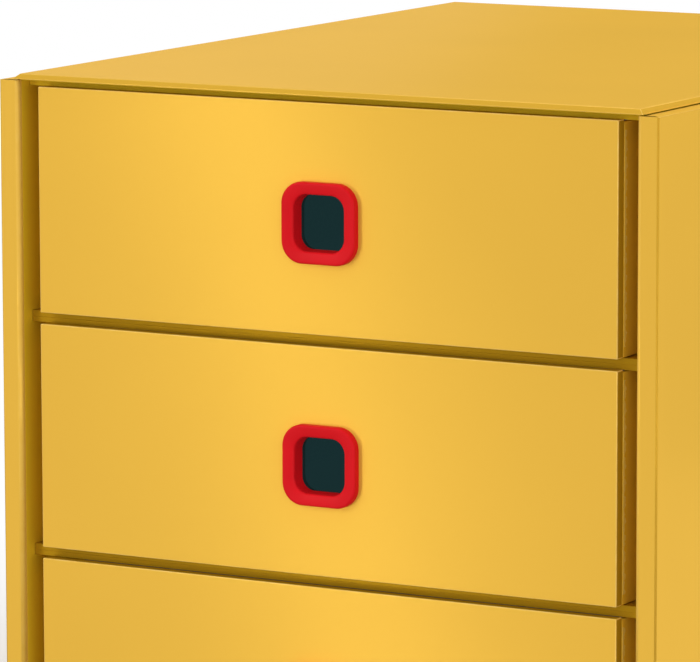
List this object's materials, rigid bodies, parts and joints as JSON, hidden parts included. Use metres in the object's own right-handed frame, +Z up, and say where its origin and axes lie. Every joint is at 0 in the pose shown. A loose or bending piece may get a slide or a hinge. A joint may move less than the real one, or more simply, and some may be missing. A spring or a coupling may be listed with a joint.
{
  "type": "desktop drawer organizer",
  "caption": "Free-standing desktop cabinet of yellow laminated board with stacked paper drawers that slide out of its front, each pulled by a red rounded-square finger ring.",
  "frame": {"origin": "middle of the box around the part, on the surface that the base rests on", "axes": "+X to the right as seen from the drawer fronts, +Y to the back, +Z up; the drawers slide out along -Y"},
  "size_m": [0.286, 0.3614, 0.282],
  "materials": {
    "laminate": "satin",
    "shelf_cover": "matte",
    "lining": "matte",
    "grey_board": "matte",
    "ring_plastic": "satin",
    "clip_plastic": "matte",
    "stud_metal": "satin"
  },
  "bodies": {
    "cabinet": {"base_panel": "laminate", "back_panel": "laminate", "top_panel": "laminate", "top_lining": "shelf_cover", "left_outer_wall": "laminate", "right_outer_wall": "laminate", "left_inner_wall": "shelf_cover", "right_inner_wall": "shelf_cover", "left_front_strip": "laminate", "right_front_strip": "laminate", "left_wall_core": "grey_board", "right_wall_core": "grey_board", "left_rear_flap": "laminate", "right_rear_flap": "laminate", "rear_stud_caps": "stud_metal", "rear_stud_sockets": "stud_metal", "upper_shelf": "shelf_cover", "lower_shelf": "shelf_cover", "upper_rail": "shelf_cover", "middle_rail": "shelf_cover", "lower_rail": "shelf_cover", "upper_left_guide": "shelf_cover", "upper_right_guide": "shelf_cover", "middle_left_guide": "shelf_cover", "middle_right_guide": "shelf_cover", "lower_left_guide": "shelf_cover", "lower_right_guide": "shelf_cover"},
    "upper_drawer": {"upper_drawer_front": "laminate", "upper_drawer_front_liner": "lining", "upper_drawer_left_side": "laminate", "upper_drawer_right_side": "laminate", "upper_drawer_back": "laminate", "upper_drawer_bottom": "lining", "upper_drawer_corner_flaps": "lining", "upper_drawer_grip_ring": "ring_plastic", "upper_drawer_grip_clip": "clip_plastic", "upper_drawer_stud_caps": "stud_metal", "upper_drawer_stud_sockets": "stud_metal"},
    "middle_drawer": {"middle_drawer_front": "laminate", "middle_drawer_front_liner": "lining", "middle_drawer_left_side": "laminate", "middle_drawer_right_side": "laminate", "middle_drawer_back": "laminate", "middle_drawer_bottom": "lining", "middle_drawer_corner_flaps": "lining", "middle_drawer_grip_ring": "ring_plastic", "middle_drawer_grip_clip": "clip_plastic", "middle_drawer_stud_caps": "stud_metal", "middle_drawer_stud_sockets": "stud_metal"},
    "lower_drawer": {"lower_drawer_front": "laminate", "lower_drawer_front_liner": "lining", "lower_drawer_left_side": "laminate", "lower_drawer_right_side": "laminate", "lower_drawer_back": "laminate", "lower_drawer_bottom": "lining", "lower_drawer_corner_flaps": "lining", "lower_drawer_grip_ring": "ring_plastic", "lower_drawer_grip_clip": "clip_plastic", "lower_drawer_stud_caps": "stud_metal", "lower_drawer_stud_sockets": "stud_metal"}
  },
  "joints": [
    {"name": "upper_drawer_slide", "type": "slide", "parent": "cabinet", "child": "upper_drawer", "axis": [0, -1, 0], "range_m": [0, 0.26]},
    {"name": "middle_drawer_slide", "type": "slide", "parent": "cabinet", "child": "middle_drawer", "axis": [0, -1, 0], "range_m": [0, 0.26]},
    {"name": "lower_drawer_slide", "type": "slide", "parent": "cabinet", "child": "lower_drawer", "axis": [0, -1, 0], "range_m": [0, 0.26]}
  ]
}
